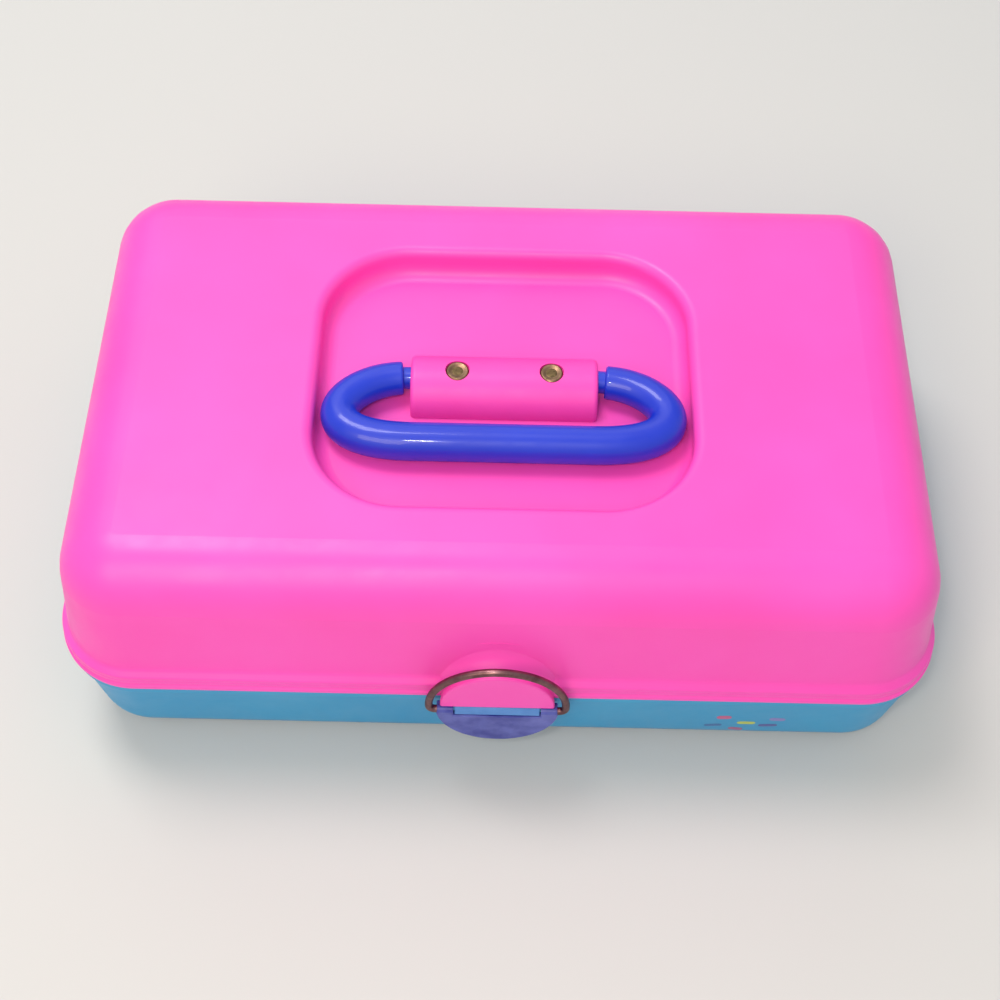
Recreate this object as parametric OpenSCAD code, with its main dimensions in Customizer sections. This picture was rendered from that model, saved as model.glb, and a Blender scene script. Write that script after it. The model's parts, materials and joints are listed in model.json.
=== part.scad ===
// Two-tone moulded make-up case: drafted base, deep lid with a handle well, a loop
// handle in a riveted saddle, a wire bail latch with a round pull tab, and a tray
// that the lid lifts on two link arms. Millimetres, +Z up, +X along the hinge,
// +Y to the back, origin in the middle of the footprint on the floor.

/* [Case] */
// Length of the lid over its lower lip
case_len = 305; // [290:1:330]
// Depth of the lid over its lower lip
case_depth = 193.4; // [185:0.2:215]
// Corner radius of the lid at its lower lip
case_corner = 28; // [27:0.5:34]
// Height of the closed case
case_h = 100.5; // [98:0.5:112]
// Wall of both mouldings
wall = 2.6; // [2.2:0.1:3]
// Draft of the lid wall, degrees
lid_draft = 6; // [3:0.5:7]
// Draft of the base wall, degrees
base_draft = 9; // [6:0.5:11]
// Outer radius round the top edge of the lid
lid_round = 20; // [14:0.5:21]
// Outer radius round the bottom edge of the base
base_round = 14; // [9:0.5:15]

/* [Parting line] */
// Height of the lid's lower edge
part_z = 43.8; // [42:0.2:48]
// Height of the flared skirt of the lid
skirt_h = 8; // [7:0.5:11]
// How far the skirt stands out from the lid wall
skirt_flare = 2.8; // [2:0.1:3.4]
// How far the lip stands out from the skirt
lip_out = 0.5; // [0.3:0.1:0.8]
// Height of the lip at the foot of the skirt
lip_h = 1.2; // [0.8:0.1:2]
// How far the base rim reaches up inside the skirt
tongue_h = 5.2; // [4:0.2:6]
// Thickness of that rim
tongue_t = 2.4; // [1.8:0.1:2.6]
// Gap between the lid and the base where they don't touch
part_gap = 0.3; // [0.25:0.05:0.4]
// Height of the thicker band round the top of the base
band_h = 3.6; // [2.5:0.1:6]
// How far the band stands out from the base wall
band_out = 1.2; // [0.6:0.1:1.6]

/* [Handle well] */
// Length of the well between its upright walls
well_len = 130; // [128:1:150]
// Depth of the well from front to back
well_depth = 111; // [95:1:120]
// Corner radius of the well
well_corner = 31; // [24:1:36]
// How far the floor of the well lies below the top
well_drop = 11.2; // [10:0.2:12]
// Radius over the edge of the well
well_rim = 3.5; // [3:0.1:4]
// Radius at the foot of the well's wall
well_foot = 5; // [3.5:0.1:5.5]

/* [Handle] */
// Diameter of the grip
grip_d = 13.3; // [11:0.1:13.6]
// Overall length of the handle
handle_len = 126.4; // [112:0.2:127]
// From the pivot line to the middle of the grip
handle_reach = 27; // [25:0.5:34]
// Diameter of the necks that turn in the saddle
neck_d = 8; // [6:0.1:8.4]
// How far a neck reaches into the saddle
neck_in = 8.6; // [5:0.1:9]
// Gap between the end of the saddle and the end face of the grip
neck_show = 2.9; // [1.5:0.1:4]
// Radius of the saddle
saddle_r = 12.3; // [11.8:0.1:13.5]
// Length of the saddle
saddle_len = 65.2; // [64:0.2:70]
// Rounding of the saddle's ends
saddle_edge = 1.2; // [0.5:0.1:2]
// Distance between the two rivets
rivet_span = 32.7; // [26:0.1:33]
// Diameter of a rivet's head
rivet_head_d = 8; // [6:0.1:8.4]
// Thickness of a rivet's head
rivet_head_t = 0.9; // [0.6:0.1:1.2]
// Diameter of a rivet's shank
rivet_shank_d = 4; // [3:0.1:4.4]
// Diameter of the hollow in the rivet's head
rivet_dish_d = 2.6; // [1.5:0.1:2.8]
// Diameter of a rivet's washer
washer_d = 9; // [7:0.1:12]
// Thickness of a rivet's washer
washer_t = 0.8; // [0.5:0.1:1]
// How far a rivet's tail stands past its washer
rivet_tail = 0.8; // [0.5:0.1:1]

/* [Latch] */
// Thickness of the bail's wire
wire_d = 2.4; // [2:0.1:2.8]
// Radius of the bail along the middle of the wire
bail_r = 23.4; // [22.8:0.1:26]
// Height of the middle of the bail's arc over the parting line
bail_rise = 0.5; // [0.2:0.1:2]
// Radius of the wire's bend into the hinge
bail_bend = 1.6; // [1.4:0.1:2]
// Height of the latch's hinge line below the parting line
latch_drop = 2.4; // [2.4:0.1:3]
// Radius of the keeper on the lid
keeper_r = 20.4; // [17:0.1:20.6]
// How far the keeper stands out from the lip
keeper_out = 2.15; // [1.8:0.05:3]
// Depth of the neck behind the keeper's rim
keeper_neck = 0.8; // [0.4:0.1:1.5]
// Thickness of the keeper's rim
keeper_rim = 1.8; // [1.4:0.1:2.4]
// Length of the lug that carries the latch
lug_len = 30; // [24:0.5:31]
// How far the wire reaches into the lug
wire_in = 6; // [4:0.5:10]
// Radius of the pull tab
tab_r = 21; // [19:0.1:21.2]
// Thickness of the pull tab
tab_t = 2.5; // [2:0.1:3]
// Depth of the pull tab's edge behind its plate
tab_edge = 2.6; // [1:0.1:3]
// Radius of the tab's hinge barrels
barrel_r = 2; // [1.9:0.05:2.05]
// How far the tab's face lies behind the front of its barrels
tab_set = 0.25; // [0.15:0.05:0.5]
// Width of the raised rim round the tab's face
tab_rim = 1.6; // [1:0.1:3]
// Height of that rim
tab_rim_h = 0.45; // [0.2:0.05:0.8]

/* [Hinges] */
// Distance of each hinge from the middle
hinge_x = 78; // [50:1:110]
// Length of one hinge
hinge_len = 36; // [24:1:48]
// Outer radius of the hinge knuckles
knuckle_r = 3.4; // [3:0.1:3.6]
// Diameter of the hinge pins
hinge_pin_d = 3; // [2.5:0.1:3.4]
// Gap along the pin between knuckles
knuckle_gap = 0.3; // [0.2:0.05:0.5]

/* [Tray] */
// From the end of the case to the side of the tray
tray_end = 18.5; // [18:0.5:27]
// Depth of the tray from front to back
tray_depth = 150; // [130:1:151]
// How far the middle of the tray lies in front of the middle of the case
tray_shift = 1; // [0:0.5:4]
// Height of the tray's underside
tray_z = 26; // [24:0.5:28]
// Height of the tray
tray_h = 24; // [18:0.5:25]
// Wall of the tray
tray_wall = 1.8; // [1.4:0.1:2.2]
// Corner radius of the tray
tray_corner = 13; // [10:0.5:15]
// Radius round the tray's bottom edge
tray_round = 5; // [3:0.5:6]
// Thickness of the tray's partitions
rib_t = 1.6; // [1.2:0.1:2]
// Depth of the long compartment at the back
long_bay = 46; // [36:1:56]
// Partitions in the front row
front_ribs = 3; // [1:1:5]

/* [Link arms] */
// Reach of a link from front to back, also the tray pins' distance from the hinge line
link_run = 44.3; // [42:0.1:45]
// Rise of a link
link_rise = 10; // [9:0.1:11]
// Thickness of a link arm
link_t = 3; // [2:0.1:3.4]
// Width of a link arm
link_w = 10; // [8:0.1:11]
// Place of the arms' lower pins behind the middle
link_y = 24.3; // [10:0.1:30]
// Height of the arms' lower pins
link_z = 32; // [30:0.5:34]
// Diameter of the arms' and the tray's pins
link_pin_d = 3; // [2.4:0.1:3.4]
// Diameter of the pins' heads
link_head_d = 6; // [5:0.1:7]
// Thickness of the pins' heads
link_head_t = 0.8; // [0.5:0.1:1]
// Diameter of the bosses that carry the pins
link_boss_d = 9; // [7:0.1:9.4]
// Gap between the tray's side and a link arm
link_gap = 2; // [1.6:0.1:2.4]

/* [Mirror] */
// Length of the mirror's frame
mirror_len = 117; // [96:1:119]
// Width of the mirror's frame
mirror_w = 98; // [80:1:100]
// Height of the mirror's frame
mirror_h = 6.2; // [5.8:0.1:7]
// Width of the frame's bars
mirror_bar = 8; // [6:0.5:10]
// How far the glass reaches under the bars
mirror_lap = 3; // [2:0.1:4]
// Thickness of the glass
glass_t = 2.6; // [2:0.1:3]
// Thickness of the frame's lip under the glass
mirror_lip = 0.9; // [0.7:0.1:1.2]
// Corner radius of the mirror's frame
mirror_corner = 14; // [8:0.5:20]
// Diameter of the mirror's screws
screw_d = 2.5; // [2:0.1:3]
// Diameter of the screws' heads
screw_head_d = 4.6; // [4:0.1:5]
// Length of the screws above the frame
screw_grip = 1.6; // [1:0.1:2]

/* [Fits] */
// Radial clearance of the pins and shafts that turn
fit = 0.05; // [0.03:0.01:0.08]
// Gap between moving pieces that pass each other
pass_gap = 0.3; // [0.25:0.05:0.4]

/* [Hidden] */
$fn = 64;

eps = 0.01;
far = 400;
pink = "#ff5ab9";
deep_pink = "#f55aa8";
sky = "#4b96be";
royal = "#3750dc";
violet = "#6e6ebe";
bronze = "#82605f";
brass = "#826950";
steel = "#b8bcc2";

// Both mouldings are drawn as a wall profile, (distance out from the corner centres,
// height), which runs along the sides and turns about the corner centres
corner_x = case_len / 2 - case_corner;
corner_y = case_depth / 2 - case_corner;

// Lid
skirt_u = case_corner - lip_out;
lid_u = case_corner - skirt_flare;
skirt_top = part_z + skirt_h;
skirt_in = skirt_u - tongue_t + 0.5;
ledge_z = part_z + tongue_h;
lid_k = lid_u * cos(lid_draft) + skirt_top * sin(lid_draft);

// Base
tongue_u = skirt_in - part_gap;
rim_z = part_z - part_gap;
band_u = skirt_u - part_gap;
base_u = band_u - band_out;
band_z = rim_z - band_h;
base_k = base_u * cos(base_draft) - (band_z - band_out) * sin(base_draft);

// Well
well_x = well_len / 2 - well_corner;
well_y = well_depth / 2 - well_corner;
well_z = case_h - well_drop;
pan_z = well_z - wall;

// Handle
pivot_z = well_z + grip_d / 2 + pass_gap;
bend_r = handle_reach / 2;
bend_x = handle_len / 2 - grip_d / 2 - bend_r;
grip_end = saddle_len / 2 + neck_show;
neck_end = saddle_len / 2 - neck_in;
head_seat = well_z + saddle_r - rivet_head_t - 0.5;

// Latch
wire_r = wire_d / 2;
keeper_y = case_depth / 2 + keeper_out;
bail_y = keeper_y + pass_gap + wire_r;
latch_z = part_z - latch_drop;
bail_z = part_z + bail_rise;
front_y = bail_y + wire_r + 1.05;
lug_top = rim_z;
lug_below = 2.2;
tab_z = part_z - 0.4;
notch_r = norm([front_y - bail_y, max(lug_top - latch_z, lug_below)]) + pass_gap;

// Hinge line: the knuckles reach as far back as the latch reaches forward
hinge_y = front_y - knuckle_r;
hinge_z = part_z + 0.2;
knuckle_len = (hinge_len - 2 * knuckle_gap) / 3;
hinge_bore = hinge_pin_d / 2 + fit;

// Tray and links: base pin to arm end, and hinge line to lid pin, are the same vector
arm_y = link_y - link_run;
arm_z = link_z + link_rise;
lid_pin_y = hinge_y - link_run;
lid_pin_z = hinge_z + link_rise;
tray_len = case_len - 2 * tray_end;
tray_side = tray_len / 2;
arm_in = tray_side + link_gap;
arm_out = arm_in + link_t;
link_r = link_pin_d / 2;
pin_bore = link_r + fit;
ear_r = link_w / 2;
tray_x = tray_side - tray_corner;
tray_y = tray_depth / 2 - tray_corner;
tray_floor = tray_z + tray_wall;
post_in = tray_side + pass_gap;
boss_in = arm_out + pass_gap;
boss_reach = 8.4;

// Mirror
mirror_z = pan_z - mirror_h;
glass_z = mirror_z + mirror_lip;
window_x = mirror_len / 2 - mirror_bar;
window_y = mirror_w / 2 - mirror_bar;
screw_x = mirror_len / 2 - (mirror_bar - mirror_lap) / 2;
screw_y = window_y / 2;

// A wall profile carried round a rectangle of corner centres half_x by half_y
module around(half_x, half_y) {
  for (turn = [0:3]) {
    out = turn % 2 == 0 ? half_x : half_y;
    run = turn % 2 == 0 ? half_y : half_x;
    rotate([0, 0, 90 * turn]) {
      translate([out, run, 0]) rotate([90, 0, 0]) linear_extrude(2 * run) children();
      translate([out, run, 0]) rotate_extrude(angle = 90) children();
    }
  }
}

// The flat plate between the corner centres
module between(half_x, half_y, low, thick) {
  translate([-half_x, -half_y, low]) cube([2 * half_x, 2 * half_y, thick]);
}

module rounded_plate(len, width, corner, low, thick) {
  translate([0, 0, low]) linear_extrude(thick) rounded_outline(len, width, corner);
}

module rounded_outline(len, width, corner) {
  square([len - 2 * corner, width], center = true);
  square([len, width - 2 * corner], center = true);
  for (x = [-1, 1], y = [-1, 1])
    translate([x * (len / 2 - corner), y * (width / 2 - corner)]) circle(corner);
}

// A quarter of a ring from one radius to another, in the quadrant that sx and sy name
module quarter_ring(inner, outer, sx, sy) {
  intersection() {
    difference() {
      circle(outer);
      circle(inner);
    }
    translate([sx < 0 ? -outer : 0, sy < 0 ? -outer : 0]) square(outer);
  }
}

// A straight pin or hole along X
module along_x(from, to, y, z, r) {
  translate([from, y, z]) rotate([0, 90, 0]) cylinder(r = r, h = to - from);
}

// A profile in (y, z), extruded along X
module profile_x(from, to) {
  translate([from, 0, 0]) rotate([90, 0, 90]) linear_extrude(to - from) children();
}

module mirror_copy_x() {
  children();
  mirror([1, 0, 0]) children();
}

// Distance of the drafted lid wall and base wall from the corner centres
function lid_at(inset, z) = (lid_k - inset - z * sin(lid_draft)) / cos(lid_draft);
function base_at(inset, z) = (base_k - inset + z * sin(base_draft)) / cos(base_draft);

// Everything inside the lid wall, drawn in by inset, down to low
module lid_region(inset, low) {
  r = lid_round - inset;
  cz = case_h - lid_round;
  cu = lid_at(lid_round, cz);
  polygon([
    [0, low], [lid_at(inset, low), low],
    [cu + r * cos(lid_draft), cz + r * sin(lid_draft)], [cu, cz], [cu, cz + r], [0, cz + r]
  ]);
  translate([cu, cz]) quarter_ring(0, r, 1, 1);
}

module lid_profile() {
  inner = lid_at(wall, ledge_z);
  difference() {
    union() {
      lid_region(0, ledge_z);
      polygon([
        [skirt_in, part_z], [case_corner - 0.3, part_z], [case_corner, part_z + 0.3],
        [case_corner, part_z + lip_h - 0.3], [skirt_u, part_z + lip_h + 0.2],
        [skirt_u, skirt_top - 1.6], [skirt_u - 0.7, skirt_top - 0.5],
        [lid_u, skirt_top], [inner, skirt_top], [inner, ledge_z], [skirt_in, ledge_z]
      ]);
    }
    lid_region(wall, ledge_z - eps);
  }
}

// Wall and floor of the handle well, measured out from the well's corner centres
module well_profile() {
  foot_u = well_corner - well_foot;
  translate([0, pan_z]) square([foot_u, wall]);
  translate([foot_u, well_z + well_foot]) quarter_ring(well_foot, well_foot + wall, 1, -1);
  translate([well_corner, well_z + well_foot]) square([wall, well_drop - well_foot - well_rim]);
  translate([well_corner + well_rim, case_h - well_rim])
    quarter_ring(well_rim - wall, well_rim, -1, 1);
}

// Everything inside the base wall, drawn in by inset, up to top
module base_region(inset, top) {
  r = base_round - inset;
  cu = base_at(base_round, base_round);
  polygon([
    [0, inset], [cu, inset], [cu, base_round],
    [cu + r * cos(base_draft), base_round - r * sin(base_draft)],
    [base_at(inset, top), top], [0, top]
  ]);
  translate([cu, base_round]) quarter_ring(0, r, 1, -1);
}

module base_profile() {
  top = band_z - band_out;
  difference() {
    union() {
      base_region(0, top);
      polygon([
        [0, top], [base_u, top], [band_u - 0.2, band_z], [band_u, band_z + 0.4],
        [band_u, rim_z - 0.3], [band_u - 0.3, rim_z], [tongue_u, rim_z],
        [tongue_u, ledge_z], [0, ledge_z]
      ]);
    }
    base_region(wall, top);
    polygon([
      [0, top - eps], [base_at(wall, top), top - eps], [tongue_u - tongue_t, band_z],
      [tongue_u - tongue_t, far], [0, far]
    ]);
  }
}

// Knuckles of both hinges: the lid has the middle one of each, the base the outer two
module knuckle_set(places, grow) {
  for (side = [-1, 1], place = places) {
    middle = side * hinge_x + place * (knuckle_len + knuckle_gap);
    along_x(middle - knuckle_len / 2 - grow, middle + knuckle_len / 2 + grow,
      hinge_y, hinge_z, knuckle_r + grow);
  }
}

module knuckle_webs(places) {
  for (side = [-1, 1], place = places) {
    middle = side * hinge_x + place * (knuckle_len + knuckle_gap);
    profile_x(middle - knuckle_len / 2, middle + knuckle_len / 2) children();
  }
}

module hinge_bores() {
  for (side = [-1, 1])
    along_x(side * hinge_x - hinge_len, side * hinge_x + hinge_len, hinge_y, hinge_z, hinge_bore);
}

// Half-round keeper that the bail goes over, turned about the latch's middle line
module keeper() {
  root = corner_y + lid_at(wall, ledge_z) + 0.2;
  edge = 0.9;
  intersection() {
    translate([0, 0, part_z]) rotate([90, 0, 0]) rotate_extrude(angle = 180) {
      polygon([
        [0, root], [keeper_r - keeper_neck, root],
        [keeper_r - keeper_neck, keeper_y - keeper_rim - keeper_neck],
        [keeper_r, keeper_y - keeper_rim], [keeper_r, keeper_y - edge],
        [keeper_r - edge, keeper_y - edge], [keeper_r - edge, keeper_y], [0, keeper_y]
      ]);
      translate([keeper_r - edge, keeper_y - edge]) quarter_ring(0, edge, 1, 1);
    }
    union() {
      translate([-far / 2, -far / 2, ledge_z]) cube([far, far, far]);
      translate([-far / 2, -far / 2, part_z]) cube([far, far / 2 - corner_y - skirt_in, far]);
    }
  }
}

// Posts inside the lid that the back of the tray hangs from
module lid_posts() {
  mirror_copy_x()
    along_x(post_in, corner_x + lid_at(wall / 2, lid_pin_z), lid_pin_y, lid_pin_z, link_boss_d / 2);
}

module screw_places() {
  for (x = [-screw_x, screw_x], y = [-screw_y, screw_y]) translate([x, y, 0]) children();
}

module rivet_places() {
  for (x = [-rivet_span / 2, rivet_span / 2]) translate([x, 0, 0]) children();
}

module lid_shell() {
  hole = 2 * (well_corner + well_rim);
  color(pink) difference() {
    union() {
      difference() {
        union() {
          around(corner_x, corner_y) lid_profile();
          difference() {
            between(corner_x, corner_y, case_h - wall, wall);
            rounded_plate(2 * well_x + hole, 2 * well_y + hole, hole / 2, case_h - 2 * wall, far);
          }
        }
        knuckle_set([-1, 1], pass_gap);
      }
      around(well_x, well_y) well_profile();
      between(well_x, well_y, pan_z, wall);
      keeper();
      lid_posts();
      knuckle_set([0], 0);
      knuckle_webs([0]) polygon([
        [corner_y + skirt_u - 1, part_z], [hinge_y, part_z],
        [hinge_y, hinge_z + knuckle_r], [corner_y + skirt_u - 1, hinge_z + knuckle_r]
      ]);
    }
    hinge_bores();
    mirror_copy_x() along_x(post_in - eps, post_in + boss_reach, lid_pin_y, lid_pin_z, link_r);
    rivet_places() translate([0, 0, pan_z - 1]) cylinder(d = rivet_shank_d, h = 2 * wall);
    screw_places() translate([0, 0, pan_z - 1]) cylinder(d = screw_d, h = 1 + screw_grip);
  }
}

// Lug on the base that the latch turns on
module latch_lug() {
  low = latch_z - lug_below;
  profile_x(-lug_len / 2, lug_len / 2) polygon([
    [-front_y, lug_top - 0.4], [-front_y + 0.4, lug_top], [-corner_y - band_u + 1, lug_top],
    [-corner_y - base_u + 1.5, band_z - 8], [1 - bail_y, low], [-front_y + 0.4, low],
    [-front_y, low + 0.4]
  ]);
}

module base_shell() {
  color(sky) difference() {
    union() {
      difference() {
        union() {
          around(corner_x, corner_y) base_profile();
          between(corner_x, corner_y, 0, wall);
        }
        knuckle_set([0], pass_gap);
      }
      latch_lug();
      mirror_copy_x()
        along_x(boss_in, corner_x + base_at(wall / 2, link_z), link_y, link_z, link_boss_d / 2);
      knuckle_set([-1, 1], 0);
      knuckle_webs([-1, 1]) polygon([
        [corner_y + band_u - 1, rim_z], [hinge_y, rim_z], [hinge_y, hinge_z - knuckle_r],
        [corner_y + base_u - 1.5, band_z - 5]
      ]);
    }
    hinge_bores();
    mirror_copy_x() {
      along_x(boss_in - eps, boss_in + boss_reach - 2, link_y, link_z, link_r);
      along_x(lug_len / 2 - wire_in, lug_len, -bail_y, latch_z, wire_r + fit);
    }
  }
}

// Half-barrel block that traps the necks of the handle
module handle_saddle() {
  half = saddle_len / 2;
  color(deep_pink) difference() {
    translate([0, 0, well_z]) rotate([0, 90, 0]) rotate([0, 0, 90]) rotate_extrude(angle = 180) {
      translate([0, -half + saddle_edge]) square([saddle_r, saddle_len - 2 * saddle_edge]);
      translate([0, -half]) square([saddle_r - saddle_edge, saddle_len]);
      for (end = [-1, 1])
        translate([saddle_r - saddle_edge, end * (half - saddle_edge)])
          quarter_ring(0, saddle_edge, 1, end);
    }
    mirror_copy_x() along_x(neck_end - pass_gap, half + 1, 0, pivot_z, neck_d / 2 + fit);
    rivet_places() {
      translate([0, 0, well_z - 1]) cylinder(d = rivet_shank_d, h = far);
      translate([0, 0, head_seat]) cylinder(d = rivet_head_d + 0.5, h = far);
    }
  }
}

module handle() {
  edge = 1.2;
  grip_r = grip_d / 2;
  color(royal) translate([0, 0, pivot_z]) {
    mirror_copy_x() {
      along_x(neck_end, grip_end + edge, 0, 0, neck_d / 2);
      translate([grip_end, 0, 0]) rotate([0, 90, 0]) rotate_extrude() {
        translate([0, edge]) square([grip_r, bend_x - grip_end - edge]);
        square([grip_r - edge, edge]);
        translate([grip_r - edge, edge]) quarter_ring(0, edge, 1, -1);
      }
      translate([bend_x, -bend_r, 0]) rotate_extrude(angle = 180, start = -90)
        translate([bend_r, 0]) circle(grip_r);
    }
    along_x(-bend_x, bend_x, -handle_reach, 0, grip_r);
  }
}

module handle_rivets() {
  tail_z = pan_z - washer_t - rivet_tail;
  color(brass) rivet_places() difference() {
    union() {
      translate([0, 0, head_seat]) cylinder(d = rivet_head_d, h = rivet_head_t);
      translate([0, 0, tail_z]) cylinder(d = rivet_shank_d, h = head_seat - tail_z);
      translate([0, 0, tail_z]) cylinder(d = rivet_shank_d + 2, h = rivet_tail);
    }
    translate([0, 0, head_seat + rivet_head_t - 0.5]) cylinder(d = rivet_dish_d, h = 1);
  }
}

module rivet_washers() {
  color(steel) rivet_places() difference() {
    translate([0, 0, pan_z - washer_t]) cylinder(d = washer_d, h = washer_t);
    translate([0, 0, pan_z - 2 * washer_t]) cylinder(d = rivet_shank_d, h = far);
  }
}

module hinge_pin(side) {
  color(steel) along_x(side * hinge_x - hinge_len / 2, side * hinge_x + hinge_len / 2,
    hinge_y, hinge_z, hinge_pin_d / 2);
}

// Half-round pull tab with a raised rim, its barrels on the ends of the bail
module latch_tab() {
  face = bail_y + barrel_r - tab_set;
  back = face - tab_t;
  half = sqrt(tab_r * tab_r - pow(tab_z - latch_z, 2)) - tab_set;
  color(violet) difference() {
    union() {
      translate([0, -back, 0]) rotate([90, 0, 0]) linear_extrude(tab_t)
        half_disc(tab_r, latch_z);
      translate([0, -back + tab_edge, 0]) rotate([90, 0, 0]) linear_extrude(tab_edge)
        difference() {
          half_disc(tab_r, latch_z - tab_set);
          half_disc(tab_r - tab_rim, latch_z + 1);
        }
      mirror_copy_x()
        along_x(lug_len / 2 + pass_gap, half, -bail_y, latch_z, barrel_r);
    }
    translate([0, -face + tab_rim_h, 0]) rotate([90, 0, 0]) linear_extrude(1)
      half_disc(tab_r - tab_rim, latch_z - notch_r - tab_rim);
    translate([-lug_len / 2 - pass_gap, -far / 2, latch_z - notch_r])
      cube([lug_len + 2 * pass_gap, far / 2, far]);
    along_x(-far / 2, far / 2, -bail_y, latch_z, wire_r + fit);
  }
}

module half_disc(r, top) {
  intersection() {
    translate([0, tab_z]) circle(r);
    translate([-far / 2, top - far]) square(far);
  }
}

// One piece of wire: arch, legs and in-turned ends
module latch_bail() {
  color(bronze) translate([0, -bail_y, 0]) {
    translate([0, 0, bail_z]) rotate([90, 0, 0]) rotate_extrude(angle = 180)
      translate([bail_r, 0]) circle(wire_r);
    mirror_copy_x() {
      translate([bail_r, 0, latch_z + bail_bend])
        cylinder(r = wire_r, h = bail_z - latch_z - bail_bend);
      translate([bail_r - bail_bend, 0, latch_z + bail_bend]) rotate([90, 0, 0])
        rotate_extrude(angle = 90, start = -90) translate([bail_bend, 0]) circle(wire_r);
      along_x(lug_len / 2 - wire_in + pass_gap, bail_r - bail_bend, 0, latch_z, wire_r);
    }
  }
}

module tray_region(inset, top) {
  r = tray_round - inset;
  foot_u = tray_corner - tray_round;
  translate([0, tray_z + inset]) square([foot_u, top - inset]);
  translate([0, tray_z + tray_round]) square([tray_corner - inset, top - tray_round]);
  translate([foot_u, tray_z + tray_round]) quarter_ring(0, r, 1, -1);
}

module tray_profile() {
  difference() {
    tray_region(0, tray_h);
    tray_region(tray_wall, far);
  }
}

module tray_ribs() {
  rib_h = tray_h - 3;
  front = -tray_depth / 2 + tray_wall / 2;
  split = tray_depth / 2 - tray_wall - long_bay - rib_t;
  pitch = (tray_len - 2 * tray_wall) / (front_ribs + 1);
  foot = tray_side - tray_round;
  translate([0, 0, tray_floor - eps]) {
    translate([-foot, split, 0]) cube([2 * foot, rib_t, rib_h - tray_wall]);
    for (n = [1:front_ribs])
      translate([n * pitch - pitch * (front_ribs + 1) / 2 - rib_t / 2, front + tray_round, 0])
        cube([rib_t, split - front - tray_round + eps, rib_h - tray_wall]);
  }
  upper = tray_z + tray_round;
  translate([0, 0, upper]) {
    translate([-tray_side + tray_wall / 2, split, 0])
      cube([tray_len - tray_wall, rib_t, rib_h - tray_round]);
    for (n = [1:front_ribs])
      translate([n * pitch - pitch * (front_ribs + 1) / 2 - rib_t / 2, front, 0])
        cube([rib_t, split - front + eps, rib_h - tray_round]);
  }
}

module tray() {
  ear_low = tray_z + tray_h - 2;
  color(sky) difference() {
    union() {
      translate([0, -tray_shift, 0]) {
        around(tray_x, tray_y) tray_profile();
        between(tray_x, tray_y, tray_z, tray_wall);
        tray_ribs();
      }
      mirror_copy_x() {
        profile_x(tray_side - tray_wall, tray_side) {
          translate([lid_pin_y, lid_pin_z]) circle(ear_r);
          translate([lid_pin_y - ear_r, ear_low]) square([2 * ear_r, lid_pin_z - ear_low]);
        }
        along_x(tray_side - tray_wall, arm_in - pass_gap, arm_y, arm_z, link_head_d / 2 + 1);
      }
    }
    mirror_copy_x() {
      along_x(tray_side - far / 4, tray_side + far / 4, arm_y, arm_z, pin_bore);
      along_x(tray_side - far / 4, tray_side + far / 4, lid_pin_y, lid_pin_z, pin_bore);
    }
  }
}

module link_arm() {
  color(steel) difference() {
    profile_x(arm_in, arm_out) {
      translate([link_y, link_z]) {
        circle(link_w / 2);
        rotate(atan2(link_rise, -link_run)) translate([0, -link_w / 2])
          square([norm([link_run, link_rise]), link_w]);
      }
      translate([arm_y, arm_z]) circle(link_w / 2);
    }
    along_x(arm_in - 1, arm_out + 1, link_y, link_z, pin_bore);
    along_x(arm_in - 1, arm_out + 1, arm_y, arm_z, link_r);
  }
}

// The arm's lower pin: its head is inside, its shank fixed in the base's boss
module arm_base_pin() {
  head = arm_in - pass_gap / 3;
  color(steel) {
    along_x(head - link_head_t, head, link_y, link_z, link_head_d / 2);
    along_x(head, boss_in + boss_reach - 2, link_y, link_z, link_r);
  }
}

// The arm's upper pin: fixed in the arm, turning in the tray
module arm_tray_pin() {
  color(steel) {
    along_x(arm_out, arm_out + link_head_t, arm_y, arm_z, link_head_d / 2);
    along_x(tray_side - tray_wall - 0.6, arm_out, arm_y, arm_z, link_r);
  }
}

// The pin that hangs the tray from the lid: fixed in the lid's post
module lid_tray_pin() {
  head = tray_side - tray_wall - pass_gap / 3;
  color(steel) {
    along_x(head - link_head_t, head, lid_pin_y, lid_pin_z, link_head_d / 2);
    along_x(head, post_in + boss_reach, lid_pin_y, lid_pin_z, link_r);
  }
}

module mirror_frame() {
  rebate_x = window_x + mirror_lap;
  rebate_y = window_y + mirror_lap;
  inner = mirror_corner - mirror_bar;
  color(pink) difference() {
    rounded_plate(mirror_len, mirror_w, mirror_corner, mirror_z, mirror_h);
    rounded_plate(2 * window_x, 2 * window_y, inner, mirror_z - 1, far);
    rounded_plate(2 * rebate_x, 2 * rebate_y, inner + mirror_lap, glass_z, far);
    screw_places() translate([0, 0, mirror_z - 1]) cylinder(r = screw_d / 2 + fit, h = far);
  }
}

module mirror_glass() {
  slack = 0.2;
  color("silver") rounded_plate(
    2 * (window_x + mirror_lap) - slack, 2 * (window_y + mirror_lap) - slack,
    mirror_corner - mirror_bar + mirror_lap, glass_z, glass_t);
}

module mirror_screws() {
  head_t = 1.2;
  color(steel) screw_places() {
    translate([0, 0, mirror_z - head_t]) cylinder(d = screw_head_d, h = head_t);
    translate([0, 0, mirror_z]) cylinder(d = screw_d, h = mirror_h + screw_grip);
  }
}

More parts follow.
